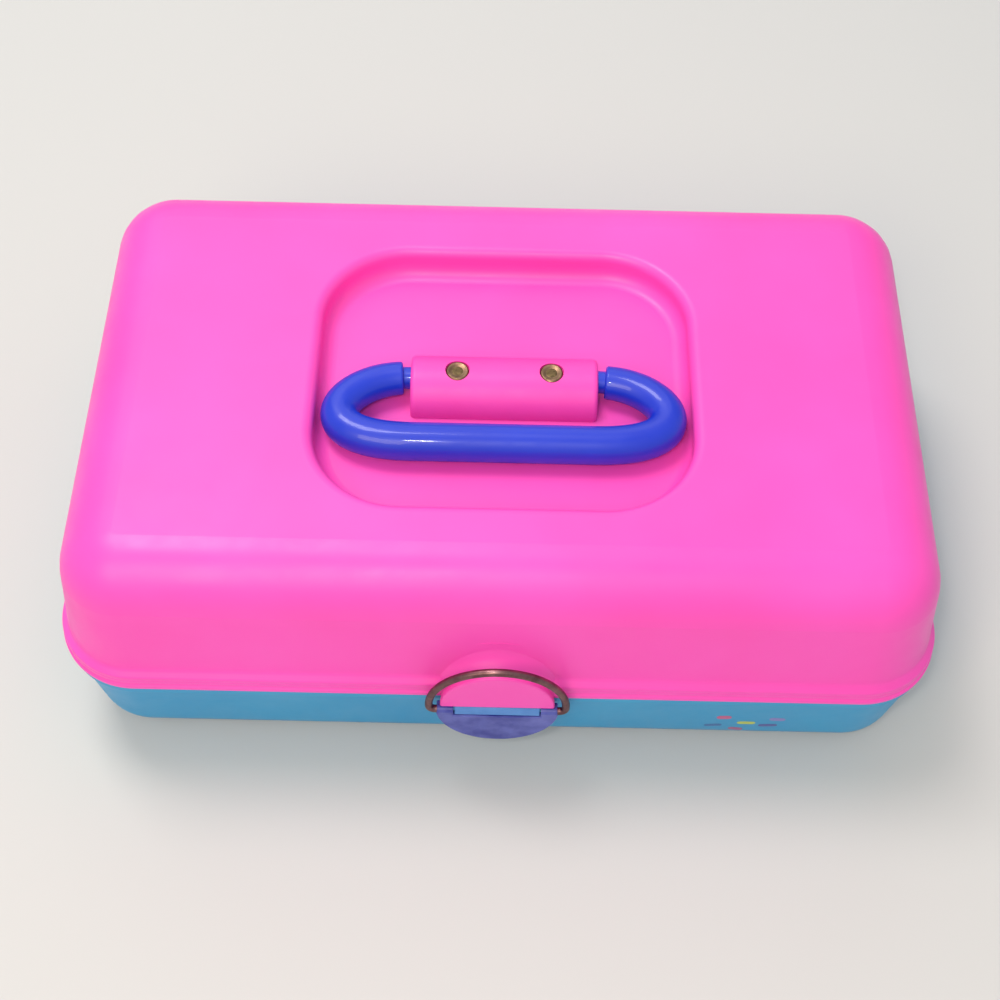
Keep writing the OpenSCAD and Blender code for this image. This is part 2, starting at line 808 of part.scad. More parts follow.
base_shell();
lid_shell();
handle_saddle();
handle();
handle_rivets();
rivet_washers();
hinge_pin(-1);  // hinge_pin_left
hinge_pin(1);  // hinge_pin_right
latch_tab();
latch_bail();
tray();
mirror([1, 0, 0]) link_arm();  // link_arm_left
link_arm();  // link_arm_right
mirror([1, 0, 0]) arm_base_pin();  // arm_base_pin_left
arm_base_pin();  // arm_base_pin_right
mirror([1, 0, 0]) arm_tray_pin();  // arm_tray_pin_left
arm_tray_pin();  // arm_tray_pin_right
mirror([1, 0, 0]) lid_tray_pin();  // lid_tray_pin_left
lid_tray_pin();  // lid_tray_pin_right
mirror_frame();
mirror_glass();
mirror_screws();
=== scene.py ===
import bpy
import bmesh
import json
import math
import numpy as np
from mathutils import Matrix, Vector

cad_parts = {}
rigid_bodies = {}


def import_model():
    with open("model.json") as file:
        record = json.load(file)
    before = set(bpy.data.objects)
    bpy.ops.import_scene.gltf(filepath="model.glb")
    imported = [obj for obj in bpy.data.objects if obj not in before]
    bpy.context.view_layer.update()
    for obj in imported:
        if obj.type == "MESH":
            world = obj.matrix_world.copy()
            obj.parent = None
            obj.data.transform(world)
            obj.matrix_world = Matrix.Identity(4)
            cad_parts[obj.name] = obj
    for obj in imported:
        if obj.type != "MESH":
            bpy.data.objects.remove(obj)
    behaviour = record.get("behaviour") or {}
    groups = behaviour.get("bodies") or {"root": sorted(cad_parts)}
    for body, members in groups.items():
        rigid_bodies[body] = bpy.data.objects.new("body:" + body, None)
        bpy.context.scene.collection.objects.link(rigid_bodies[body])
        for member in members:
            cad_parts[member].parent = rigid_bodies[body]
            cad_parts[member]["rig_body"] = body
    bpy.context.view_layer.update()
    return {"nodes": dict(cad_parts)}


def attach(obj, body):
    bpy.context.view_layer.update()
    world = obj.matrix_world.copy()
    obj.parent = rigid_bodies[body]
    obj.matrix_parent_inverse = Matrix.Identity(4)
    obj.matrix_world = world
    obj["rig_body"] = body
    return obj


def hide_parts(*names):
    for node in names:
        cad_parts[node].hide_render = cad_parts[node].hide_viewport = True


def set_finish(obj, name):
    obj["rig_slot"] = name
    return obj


# Pink and blue moulded make-up case, closed, seen from the front and above.
# Lengths are in millimetres until a mesh is filled, which turns them into metres.

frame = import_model()
print("frame loaded", len(frame["nodes"]), "nodes")

millimetre = 0.001
weldDistance = 0.002      # points of one piece that are nearer than this become one
bevelSteps, bevelAngle = 3, 28     # a bevel's faces, and the angle in degrees from which an edge gets one
bumpHeight = 0.05         # how high the finest bumps of a surface stand


# Rounds a line's corners: each corner becomes an arc that touches both of its sides.
# A row is two coordinates, the corner's radius and a share that is only carried along.
# Straight runs keep a point close to either end, which holds their shading flat.
def roundLine(corners, arcSteps=8, hold=0.3, longest=1e9, closed=False):
    corners = np.asarray(corners, float)
    count = len(corners)
    runs = []
    for i in range(count):
        here, radius, share = corners[i, :2], corners[i, 2], corners[i, 3:]
        if radius <= 0 or (not closed and i in (0, count - 1)):
            runs.append(np.concatenate([here, share])[None])
            continue
        toward = corners[i - 1, :2] - here
        onward = corners[(i + 1) % count, :2] - here
        toward, onward = toward / np.linalg.norm(toward), onward / np.linalg.norm(onward)
        half = math.acos(np.clip(toward @ onward, -1, 1)) / 2
        middle = (toward + onward) / np.linalg.norm(toward + onward)
        centre = here + middle * radius / math.sin(half)
        a = here + toward * radius / math.tan(half) - centre
        b = here + onward * radius / math.tan(half) - centre
        turn = math.pi - 2 * half
        t = np.linspace(0, 1, arcSteps + 1)[:, None]
        arc = centre + (np.sin((1 - t) * turn) * a + np.sin(t * turn) * b) / math.sin(turn)
        runs.append(np.hstack([arc, np.repeat(share[None], len(arc), 0)]))
    if closed:
        runs.append(runs[0][:1])
    line = [runs[0]]
    for before, after in zip(runs[:-1], runs[1:]):
        start, end = before[-1], after[0]
        length = np.linalg.norm((end - start)[:2])
        if length > 3 * hold:
            steps = max(2, int(math.ceil((length - 2 * hold) / longest)) + 1)
            t = np.linspace(hold / length, 1 - hold / length, steps)[:, None]
            line.append(start + (end - start) * t)
        line.append(after)
    line = np.vstack(line)
    return line[:-1] if closed else line


# Stations round a rounded rectangle: a quarter turn in equal steps at each corner, then a straight run.
# Each has the outward direction there, and its corner centre as shares of the two half lengths.
def ringStations(cornerSteps=20, longSteps=16, shortSteps=10):
    signs = np.array([[1, 1], [-1, 1], [-1, -1], [1, -1]], float)
    directions, shares = [], []
    for turn in range(4):
        angle = (turn + np.linspace(0, 1, cornerSteps + 1)) * math.pi / 2
        directions.append(np.stack([np.cos(angle), np.sin(angle)], 1))
        shares.append(np.repeat(signs[turn][None], cornerSteps + 1, 0))
        steps = longSteps if turn % 2 == 0 else shortSteps
        t = np.linspace(0, 1, steps + 1)[1:-1, None]
        shares.append(signs[turn] * (1 - t) + signs[(turn + 1) % 4] * t)
        directions.append(np.repeat(directions[-1][-1][None], steps - 1, 0))
    return np.vstack(directions), np.vstack(shares)


# Carries a line of (distance out, height, spread) round a rounded rectangle. A point is its corner centre
# plus distance times the outward direction. Spread 0 takes the outer corner centres, 1 the inner ones, 2 the
# middle.
def carryRound(line, outerHalf, innerHalf=(0, 0), stations=None, middle=(0, 0)):
    directions, shares = stations or ringStations()
    spread = line[:, 2] if line.shape[1] > 2 else np.zeros(len(line))
    halfX = np.interp(spread, [0, 1, 2], [outerHalf[0], innerHalf[0], 0])[:, None]
    halfY = np.interp(spread, [0, 1, 2], [outerHalf[1], innerHalf[1], 0])[:, None]
    x = halfX * shares[:, 0] + line[:, :1] * directions[:, 0] + middle[0]
    y = halfY * shares[:, 1] + line[:, :1] * directions[:, 1] + middle[1]
    return np.stack([x, y, np.repeat(line[:, 1:2], x.shape[1], 1)], 2)


# Spins a line of (radius, height) about an axis through centre: radius turns round the axis, height runs along it.
def spinRound(line, centre, axis=(0, 0, 1), steps=48, start=0, sweep=2 * math.pi):
    axis = np.asarray(axis, float)
    side = np.array([1.0, 0, 0]) if abs(axis[0]) < 0.9 else np.array([0, 1.0, 0])
    other = np.cross(axis, side)
    whole = abs(sweep - 2 * math.pi) < 1e-6
    angle = start + np.linspace(0, sweep, steps + (0 if whole else 1), endpoint=not whole)
    ring = np.cos(angle)[:, None] * side + np.sin(angle)[:, None] * other
    return np.asarray(centre, float) + line[:, None, :1] * ring[None] + line[:, None, 1:2] * axis


# Spins a line of (distance along, radius) about a flat path: each ring stands square to the path where its
# distance falls.
def spinAlong(path, normal, line, steps=40):
    path = np.asarray(path, float)
    leg = np.linalg.norm(np.diff(path, axis=0), axis=1)
    length = np.concatenate([[0], np.cumsum(leg)])
    tangent = np.gradient(path, length, axis=0)
    at = lambda values: np.stack([np.interp(line[:, 0], length, values[:, k]) for k in range(3)], 1)
    here, along = at(path), at(tangent)
    along /= np.linalg.norm(along, axis=1)[:, None]
    normal = np.asarray(normal, float)
    side = np.cross(along, normal)
    angle = np.linspace(0, 2 * math.pi, steps, endpoint=False)[:, None]
    ring = np.cos(angle)[None] * side[:, None] + np.sin(angle)[None] * normal
    return here[:, None] + line[:, 1][:, None, None] * ring


# A flat path: straight runs and arcs, rounded as roundLine does, laid into the plane of two directions.
def flatPath(corners, origin, first, second, arcSteps=48):
    flat = roundLine(corners, arcSteps, hold=0.4, longest=1.5)
    apart = np.linalg.norm(np.diff(flat[:, :2], axis=0), axis=1) > 1e-6
    flat = flat[np.concatenate([[True], apart])]
    first, second = np.asarray(first, float), np.asarray(second, float)
    return np.asarray(origin, float) + flat[:, :1] * first + flat[:, 1:2] * second


# Extrudes an outline of two coordinates along a third: a front face, a back face and one wall face for each side.
def slab(outline, low, high, origin, first, second, third):
    outline = np.asarray(outline, float)[:, :2]
    first, second, third = (np.asarray(direction, float) for direction in (first, second, third))
    flat = np.asarray(origin, float) + outline[:, :1] * first + outline[:, 1:2] * second
    count = len(outline)
    index = np.arange(count)
    onward = np.roll(index, -1)
    walls = np.stack([index, onward, onward + count, index + count], 1).tolist()
    ends = [index[::-1].tolist(), (index + count).tolist()]
    return np.vstack([flat + low * third, flat + high * third]), walls + ends


# Joins neighbouring points of a grid by four-sided faces. Rows or columns wrap round where the surface closes.
def gridFaces(points, wrapRows=False, wrapColumns=True):
    rows, columns = points.shape[:2]
    index = np.arange(rows * columns).reshape(rows, columns)
    if wrapRows:
        index = np.vstack([index, index[:1]])
    if wrapColumns:
        index = np.hstack([index, index[:, :1]])
    faces = np.stack([index[:-1, :-1], index[:-1, 1:], index[1:, 1:], index[1:, :-1]], 2).reshape(-1, 4)
    return points.reshape(-1, 3), faces.tolist()


# Fills one mesh from several surfaces, welds points that fall together, and turns the faces outwards.
def addPiece(name, surfaces, material, body, slotName, replaced=(), bevel=0):
    points, faces, offset = [], [], 0
    for surfacePoints, surfaceFaces in surfaces:
        points.append(surfacePoints)
        faces += [[k + offset for k in face] for face in surfaceFaces]
        offset += len(surfacePoints)
    points = np.vstack(points)
    mesh = bpy.data.meshes.new(name)
    mesh.from_pydata((points * millimetre).tolist(), [], faces)
    shape = bmesh.new()
    shape.from_mesh(mesh)
    bmesh.ops.remove_doubles(shape, verts=shape.verts, dist=weldDistance * millimetre)
    bmesh.ops.recalc_face_normals(shape, faces=shape.faces)
    shape.to_mesh(mesh)
    shape.free()
    mesh.shade_smooth()
    mesh.materials.append(material)
    piece = bpy.data.objects.new(name, mesh)
    bpy.context.scene.collection.objects.link(piece)
    if bevel:
        edge = piece.modifiers.new("edge", "BEVEL")
        edge.width, edge.segments, edge.limit_method = bevel * millimetre, bevelSteps, "ANGLE"
        edge.angle_limit = math.radians(bevelAngle)
    flat = piece.modifiers.new("flat", "WEIGHTED_NORMAL")
    flat.keep_sharp = True
    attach(piece, body)
    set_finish(piece, slotName)
    if replaced:
        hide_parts(*replaced)
    return piece


# Cuts a piece with closed surfaces: the difference is worked out once and kept as the piece's own mesh.
def cutPiece(piece, surfaces, sharp=30):
    cutter = addPiece("cutter", surfaces, piece.data.materials[0], piece["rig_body"], piece["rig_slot"])
    cutter.modifiers.clear()
    cut = piece.modifiers.new("cut", "BOOLEAN")
    cut.operation, cut.solver, cut.object = "DIFFERENCE", "EXACT", cutter
    for other in [m for m in piece.modifiers if m != cut]:
        piece.modifiers.remove(other)
    scene = bpy.context.evaluated_depsgraph_get()
    mesh = bpy.data.meshes.new_from_object(piece.evaluated_get(scene))
    mesh.shade_smooth()
    mesh.set_sharp_from_angle(angle=math.radians(sharp))
    piece.modifiers.clear()
    piece.data = mesh
    bpy.data.objects.remove(cutter)
    flat = piece.modifiers.new("flat", "WEIGHTED_NORMAL")
    flat.keep_sharp = True
    return piece


mirrorX = np.diag([-1.0, 1, 1])


# The same surface on the other side of the case
def bothSides(surface):
    return [surface, (surface[0] @ mirrorX, surface[1])]


# Turns an sRGB hex colour to the linear numbers that the shaders take.
def linearColour(hexColour):
    value = np.array([int(hexColour[k:k + 2], 16) for k in (1, 3, 5)]) / 255
    linear = np.where(value <= 0.04045, value / 12.92, ((value + 0.055) / 1.055) ** 2.4)
    return (*linear.tolist(), 1.0)


# Adds a node, sets its properties and sockets, and links each socket that is given another node's output.
def addNode(tree, kind, properties={}, sockets={}):
    node = tree.nodes.new(kind)
    for key, value in properties.items():
        setattr(node, key, value)
    for key, value in sockets.items():
        if isinstance(value, bpy.types.NodeSocket):
            tree.links.new(value, node.inputs[key])
        else:
            node.inputs[key].default_value = value
    return node


def newMaterial(name):
    material = bpy.data.materials.new(name)
    material.use_nodes = True
    tree = material.node_tree
    tree.nodes.clear()
    return material, tree, addNode(tree, "ShaderNodeTexCoord").outputs["Object"]


# Cycles per metre of a noise whose grain is this many millimetres across
def perMetre(grain):
    return 1 / (grain * millimetre)


# A noise of this grain in millimetres; gives its strength from 0 to 1
def addNoise(tree, place, grain, detail, more={}):
    sockets = {"Vector": place, "Scale": perMetre(grain), "Detail": detail, **more}
    return addNode(tree, "ShaderNodeTexNoise", {}, sockets).outputs["Fac"]


# Two colours, shared out by a noise between two of its values
def addBlend(tree, noise, low, high, dark, light):
    ramp = addNode(tree, "ShaderNodeValToRGB", {}, {"Fac": noise})
    first, last = ramp.color_ramp.elements
    first.position, last.position = low, high
    first.color, last.color = linearColour(dark), linearColour(light)
    return ramp.outputs["Color"]


# A roughness that goes from one value to another as a noise rises
def addGloss(tree, noise, start, end):
    return addNode(tree, "ShaderNodeMapRange", {}, {
        "Value": noise, "From Min": 0.35, "From Max": 0.7, "To Min": start, "To Max": end}).outputs["Result"]


# Bumps from a noise, this many millimetres high at full strength
def addBump(tree, noise, strength, height, more={}):
    sockets = {"Height": noise, "Strength": strength, "Distance": height * millimetre, **more}
    return addNode(tree, "ShaderNodeBump", {}, sockets).outputs["Normal"]


# Injection-moulded plastic: even colour that drifts a little over centimetres, a fine orange peel that softens
# reflections, and rubbed patches with fine hairline scratches where the gloss changes.
def mouldedPlastic(name, look):
    material, tree, place = newMaterial(name)
    drift = addNoise(tree, place, look["driftGrain"], 3.0)
    rubbed = addNoise(tree, place, look["rubGrain"], 6.0, {"Roughness": 0.65})
    stretched = addNode(tree, "ShaderNodeMapping", {}, {
        "Vector": place, "Rotation": (0.3, 0.2, 0.5), "Scale": (1.0, 14.0, 14.0)}).outputs["Vector"]
    hairlines = addNoise(tree, stretched, look["scratchLength"], 8.0)
    peel = addBump(tree, addNoise(tree, place, look["peelGrain"], 2.0), look["peel"], bumpHeight)
    surface = addNode(tree, "ShaderNodeBsdfPrincipled", {}, {
        "Base Color": addBlend(tree, drift, 0.3, 0.72, look["shade"], look["colour"]),
        "Roughness": addGloss(tree, rubbed, *look["roughness"]), "IOR": look["ior"],
        "Normal": addBump(tree, hairlines, look["scratch"], bumpHeight, {"Normal": peel}),
        "Coat Weight": look.get("coat", 0.0), "Coat Roughness": 0.06})
    addNode(tree, "ShaderNodeOutputMaterial", {}, {"Surface": surface.outputs["BSDF"]})
    return material


# Aged metal: a bare tone and a tarnished one in cloudy patches, rougher where it is tarnished, with a fine grain.
def agedMetal(name, look):
    material, tree, place = newMaterial(name)
    cloud = addNoise(tree, place, look["cloudGrain"], 6.0, {"Roughness": 0.6})
    grain = addNoise(tree, place, look["grain"], 3.0)
    surface = addNode(tree, "ShaderNodeBsdfPrincipled", {}, {
        "Base Color": addBlend(tree, cloud, 0.38, 0.66, look["tarnish"], look["colour"]),
        "Roughness": addGloss(tree, cloud, *look["roughness"][::-1]), "Metallic": 1.0,
        "Normal": addBump(tree, grain, look["bump"], bumpHeight)})
    addNode(tree, "ShaderNodeOutputMaterial", {}, {"Surface": surface.outputs["BSDF"]})
    return material


# Moulded polypropylene, satin: soft wide highlights, and a pink that leans to violet in the light
pinkPlastic = mouldedPlastic("mouldedPolypropylenePink", {
    "colour": "#FF54C4", "shade": "#FD4DBA", "ior": 1.49, "roughness": (0.36, 0.48),
    "driftGrain": 60, "rubGrain": 18, "peelGrain": 1.6, "peel": 0.18, "scratchLength": 14, "scratch": 0.05})
# The saddle is the same plastic painted a little deeper in colour, a painted glow of light bounced off the pink
# around it, and more matt
saddlePlasticPaintedGlow = mouldedPlastic("mouldedPolypropylenePinkPaintedGlow", {
    "colour": "#FF4CBC", "shade": "#FC46B4", "ior": 1.49, "roughness": (0.42, 0.52),
    "driftGrain": 25, "rubGrain": 9, "peelGrain": 1.2, "peel": 0.2, "scratchLength": 10, "scratch": 0.05})
# Moulded polypropylene, satin, sky blue, with rubbed patches that are a little duller
bluePlastic = mouldedPlastic("mouldedPolypropyleneBlue", {
    "colour": "#38A0D0", "shade": "#2E96CA", "ior": 1.49, "roughness": (0.36, 0.5),
    "driftGrain": 50, "rubGrain": 16, "peelGrain": 1.6, "peel": 0.18, "scratchLength": 14, "scratch": 0.05})
# The lug is the base's blue plastic painted lighter and more violet: a painted highlight and sky reflection on its
# upward faces
lugPlasticPaintedLight = mouldedPlastic("mouldedPolypropyleneBluePaintedLight", {
    "colour": "#5A92D6", "shade": "#4A80C8", "ior": 1.49, "roughness": (0.36, 0.5),
    "driftGrain": 6, "rubGrain": 5, "peelGrain": 1.6, "peel": 0.18, "scratchLength": 6, "scratch": 0.08})
# Moulded ABS, glossy: deep royal blue with small sharp highlights over a worn satin
handlePlastic = mouldedPlastic("mouldedAbsRoyalBlue", {
    "colour": "#1236CA", "shade": "#0E2EC0", "ior": 1.46, "roughness": (0.34, 0.5),
    "driftGrain": 30, "rubGrain": 7, "peelGrain": 3.5, "peel": 0.06, "scratchLength": 9, "scratch": 0.04,
    "coat": 0.35})
# Moulded glossy ABS, violet, mottled lighter and darker in patches a few millimetres across: a painted uneven sheen
violetPlasticPaintedSheen = mouldedPlastic("absVioletPaintedSheen", {
    "colour": "#6068BC", "shade": "#2C3494", "ior": 1.5, "roughness": (0.3, 0.44),
    "driftGrain": 7, "rubGrain": 5, "peelGrain": 4, "peel": 0.25, "scratchLength": 8, "scratch": 0.05, "coat": 0.1})
# Tinplated steel wire gone brown: dull red-brown in cloudy patches, smoother where it is paler
browned = agedMetal("brownedSteelWire", {
    "colour": "#8C686A", "tarnish": "#6B4C50", "roughness": (0.28, 0.45),
    "cloudGrain": 5, "grain": 0.7, "bump": 0.15})
# Brass-plated steel, tarnished to olive
tarnishedBrass = agedMetal("tarnishedBrassPlate", {
    "colour": "#A48468", "tarnish": "#7E6450", "roughness": (0.3, 0.45),
    "cloudGrain": 2.6, "grain": 0.5, "bump": 0.2})
# The same brass under grime: dark olive and dull
grimedBrass = agedMetal("grimedBrassPlate", {
    "colour": "#7C6A4A", "tarnish": "#5C4E38", "roughness": (0.42, 0.6),
    "cloudGrain": 1.6, "grain": 0.5, "bump": 0.3})
# Zinc-plated steel: pale grey with a slightly clouded gloss
zincSteel = agedMetal("zincPlatedSteel", {
    "colour": "#C6C9CD", "tarnish": "#A7ABB0", "roughness": (0.22, 0.38), "cloudGrain": 3, "grain": 0.4, "bump": 0.1})
# Silvered glass: a clear bright reflection with faint smears
silveredGlass = agedMetal("silveredGlass", {
    "colour": "#E9EDEE", "tarnish": "#DDE3E4", "roughness": (0.03, 0.08), "cloudGrain": 30, "grain": 2, "bump": 0.01})
print("materials made")

# What every piece of the case shares, as in the part's own values
case = {"cornerX": 124.5, "cornerY": 68.7, "height": 100.5, "wall": 2.6, "draft": 6.0,
        "part": 43.8, "rim": 43.5, "ledge": 49.0, "skirtTop": 51.8, "wellX": 34.0, "wellY": 24.5,
        "hingeY": 99.2, "hingeZ": 44.0, "hingeX": 78.0, "latchY": -100.35, "latchZ": 41.4}
slope = math.tan(math.radians(case["draft"]))
across = case["wall"] / math.cos(math.radians(case["draft"]))     # the wall's thickness, measured level
outerHalf, wellHalf = (case["cornerX"], case["cornerY"]), (case["wellX"], case["wellY"])
east, north, up = np.eye(3)
origin = (0, 0, 0)
caseStations = ringStations(28, 20, 12)

# Lid: one closed line from the well's floor over the rim, the top, the shoulder, the wall and the skirt,
# then back along the inside to the underside of the well, carried round the case
lid = {"wallFoot": 25.2, "skirt": 27.5, "shoulder": 20.0, "lip": 28.0, "inside": 25.6, "wellFloor": 89.3,
       "wellOut": 31.0, "wellRim": 3.5, "wellFoot": 5.0, "flare": 3.0, "flareTop": 52.6, "skirtTop": 50.4,
       "skirtRound": 1.4, "line": 48.7, "lineDepth": 0.12, "lineHalf": 0.3, "grooveTop": 46.9, "groove": 46.45,
       "grooveDepth": 0.3, "grooveLow": 45.9, "lipTop": 45.3, "flat": 5.0, "sharp": 0.1}


def lidWall(height):
    return lid["wallFoot"] - (height - case["skirtTop"]) * slope


topIn, pan = case["height"] - case["wall"], lid["wellFloor"] - case["wall"]
wellFlat, wellUnder = lid["wellOut"] + lid["flat"], lid["wellOut"] + case["wall"]
lidLine = roundLine([
    (0, lid["wellFloor"], 0, 2), (0, lid["wellFloor"], 0, 1), (lid["wellOut"], lid["wellFloor"], lid["wellFoot"], 1),
    (lid["wellOut"], case["height"], lid["wellRim"], 1), (wellFlat, case["height"], 0, 1),
    (1.0, case["height"], 0, 0), (lidWall(case["height"]), case["height"], lid["shoulder"], 0),
    (lidWall(lid["flareTop"]), lid["flareTop"], lid["flare"], 0),
    (lid["skirt"], lid["skirtTop"], lid["skirtRound"], 0),
    (lid["skirt"], lid["line"] + lid["lineHalf"], lid["sharp"], 0),
    (lid["skirt"] - lid["lineDepth"], lid["line"], lid["sharp"], 0),
    (lid["skirt"], lid["line"] - lid["lineHalf"], lid["sharp"], 0),
    (lid["skirt"], lid["grooveTop"], 0.15, 0), (lid["skirt"] - lid["grooveDepth"], lid["groove"], 0.15, 0),
    (lid["skirt"] - 0.1, lid["grooveLow"], 0.15, 0), (lid["lip"], lid["lipTop"], 0.3, 0),
    (lid["lip"], case["part"], 0.35, 0), (lid["inside"], case["part"], 0.25, 0),
    (lid["inside"], case["ledge"], 0.2, 0), (lidWall(case["ledge"]) - across, case["ledge"], 0.3, 0),
    (lidWall(topIn) - across, topIn, lid["shoulder"] - case["wall"], 0), (1.0, topIn, 0, 0),
    (wellFlat, topIn, 0, 1), (wellUnder, topIn, 0.9, 1),
    (wellUnder, pan, lid["wellFoot"] + case["wall"], 1), (0, pan, 0, 1), (0, pan, 0, 2)])
addPiece("lidMoulding", [gridFaces(carryRound(lidLine, outerHalf, wellHalf, caseStations))],
         pinkPlastic, "lid", "lid_pink", ["lid_shell"])

# Keeper: a half-round boss with a rim that the wire goes over, a half turn of its line with a flat face below.
# Its neck flares into the wall in a soft fillet.
keeper = {"radius": 19.6, "face": 100.7, "rim": 1.9, "neck": 0.8, "cone": 21.4, "foot": 91.9, "root": 90.0,
          "edge": 0.8, "fillet": 8.0, "flare": 28.5, "rimEdge": 0.3, "neckRound": 0.5, "lift": 0.05}


# A line spun half a turn, with a flat face that closes it
def halfTurn(line, centre, axis, steps=64):
    grid = spinRound(line, centre, axis, steps, sweep=math.pi)
    points, faces = gridFaces(grid, wrapColumns=False)
    rows, columns = grid.shape[:2]
    first = np.arange(rows) * columns
    return points, faces + [first.tolist() + (first + columns - 1)[::-1].tolist()]


keeperLine = roundLine([
    (0, keeper["face"], 0), (keeper["radius"], keeper["face"], keeper["edge"]),
    (keeper["radius"], keeper["face"] - keeper["rim"], keeper["rimEdge"]),
    (keeper["radius"] - keeper["neck"], keeper["face"] - keeper["rim"] - keeper["neck"], keeper["neckRound"]),
    (keeper["cone"], keeper["foot"], keeper["fillet"]), (keeper["flare"], keeper["foot"], 0),
    (keeper["flare"], keeper["root"], 0), (0, keeper["root"], 0)])
addPiece("lidKeeper", [halfTurn(keeperLine, (0, 0, case["part"] + keeper["lift"]), -north)],
         pinkPlastic, "lid", "lid_pink", bevel=0.25)
print("lid made")

# Base: one closed line from the floor's inside up the wall to the tongue, then down the rim and the wall outside
base = {"wallTop": 26.0, "bandFoot": 38.7, "band": 27.2, "bandLow": 39.9, "tongue": 25.3, "tongueIn": 22.9,
        "round": 14.0, "draft": 9.0}
baseSlope = math.tan(math.radians(base["draft"]))


def baseWall(height):
    return base["wallTop"] + (height - base["bandFoot"]) * baseSlope


baseLine = roundLine([
    (0, case["wall"], 0, 2), (0, case["wall"], 0, 0),
    (baseWall(case["wall"]) - across, case["wall"], base["round"] - case["wall"], 0),
    (baseWall(base["bandFoot"]) - across, base["bandFoot"], 0.4, 0), (base["tongueIn"], base["bandLow"], 0.4, 0),
    (base["tongueIn"], case["ledge"], 0.5, 0), (base["tongue"], case["ledge"], 0.6, 0),
    (base["tongue"], case["rim"], 0.15, 0), (base["band"], case["rim"], 0.5, 0),
    (base["band"], base["bandLow"] + 0.2, 0.5, 0), (base["wallTop"], base["bandFoot"], 0.4, 0),
    (baseWall(0), 0, base["round"], 0), (0, 0, 0, 0), (0, 0, 0, 2)])
addPiece("baseMoulding", [gridFaces(carryRound(baseLine, outerHalf, stations=caseStations))],
         bluePlastic, "base", "base_blue", ["base_shell"])

# Lug: the block on the base that carries the latch, its end profile drawn out along X
lug = {"half": 14.6, "front": -101.8, "low": 40.0, "lean": 0.9, "heelBack": -94.9, "footY": -93.2, "footZ": 31.9,
       "chin": -99.35}
lugOutline = [(lug["front"] + lug["lean"], case["rim"]), (lug["heelBack"], case["rim"]), (lug["footY"], lug["footZ"]),
              (lug["chin"], lug["low"]), (lug["front"], lug["low"])]
# The lug takes the blue that is painted with a highlight from the light above
addPiece("latchLug", [slab(lugOutline, -lug["half"], lug["half"], origin, north, up, east)],
         lugPlasticPaintedLight, "base", "base_blue", bevel=0.4)
print("base made")

# Handle: a bar and two bends whose thin necks run into the saddle. Each bend is a cubic curve of four points
# a, b, c, d: with t from 0 to 1 it is (1 - t)^3 a + 3 (1 - t)^2 t b + 3 (1 - t) t^2 c + t^3 d.
handle = {"pivot": 96.25, "reach": 27.5, "bendStart": 33.0, "pullOut": 23.6, "bendEnd": 31.6, "pullIn": 40.3,
          "grip": 6.65, "arm": 5.8, "taper": 45.0, "taperRound": 60.0, "neck": 3.9, "neckEnd": 24.0, "gripEnd": 35.2,
          "edge": 0.9}
t = np.linspace(0, 1, 70)[:, None]
a = np.array([handle["bendStart"], 0])
b = np.array([handle["bendStart"] + handle["pullOut"], 0])
c = np.array([handle["bendEnd"] + handle["pullIn"], -handle["reach"]])
d = np.array([handle["bendEnd"], -handle["reach"]])
handleBend = (1 - t) ** 3 * a + 3 * (1 - t) ** 2 * t * b + 3 * (1 - t) * t ** 2 * c + t ** 3 * d
neckX = np.linspace(handle["neckEnd"], handle["bendStart"], 10)[:-1]
barX = np.linspace(handle["bendEnd"], 0, 30)[1:]
handleHalfPath = np.vstack([
    np.stack([neckX, neckX * 0], 1), handleBend, np.stack([barX, barX * 0 - handle["reach"]], 1)])
handleFlat = np.vstack([handleHalfPath, (handleHalfPath * (-1, 1))[-2::-1]])
handlePath = np.column_stack([handleFlat, np.full(len(handleFlat), handle["pivot"])])
handleLength = np.linalg.norm(np.diff(handlePath, axis=0), axis=1).sum()
neckRun = handle["gripEnd"] - handle["neckEnd"]
handleHalf = [(0, 0, 0), (0, handle["neck"], 0.4), (neckRun, handle["neck"], 0.3),
              (neckRun, handle["arm"], handle["edge"]), (handle["taper"], handle["grip"], handle["taperRound"])]
handleOtherHalf = [(handleLength - along, radius, bend) for along, radius, bend in handleHalf[::-1]]
handleLine = roundLine(handleHalf + handleOtherHalf, longest=1.2)
addPiece("loopHandle", [gridFaces(spinAlong(handlePath, up, handleLine, 48))],
         handlePlastic, "handle", "handle_blue", ["handle"])

# Saddle: half a barrel with rounded ends, flat on the well's floor
saddle = {"radius": 12.3, "half": 32.6, "edge": 1.6, "rivetX": 16.35, "seat": 100.2, "seatRadius": 4.25,
          "above": 110.0}


# A surface spun about an upright axis, once for each rivet
def atRivets(line, steps):
    return [gridFaces(spinRound(line, (side * saddle["rivetX"], 0, 0), steps=steps)) for side in (-1, 1)]


saddleLine = roundLine([
    (0, -saddle["half"], 0), (saddle["radius"], -saddle["half"], saddle["edge"]),
    (saddle["radius"], saddle["half"], saddle["edge"]), (0, saddle["half"], 0)], longest=0.8)
# The saddle's deeper pink is a painted glow of bounced light
saddleBlock = addPiece("saddleBlock", [halfTurn(saddleLine, (0, 0, lid["wellFloor"]), east)],
                       saddlePlasticPaintedGlow, "lid", "lid_pink", ["handle_saddle"])
seatLine = np.array([
    (0, saddle["seat"]), (saddle["seatRadius"], saddle["seat"]), (saddle["seatRadius"], saddle["above"]),
    (0, saddle["above"])])
cutPiece(saddleBlock, atRivets(seatLine, 64))

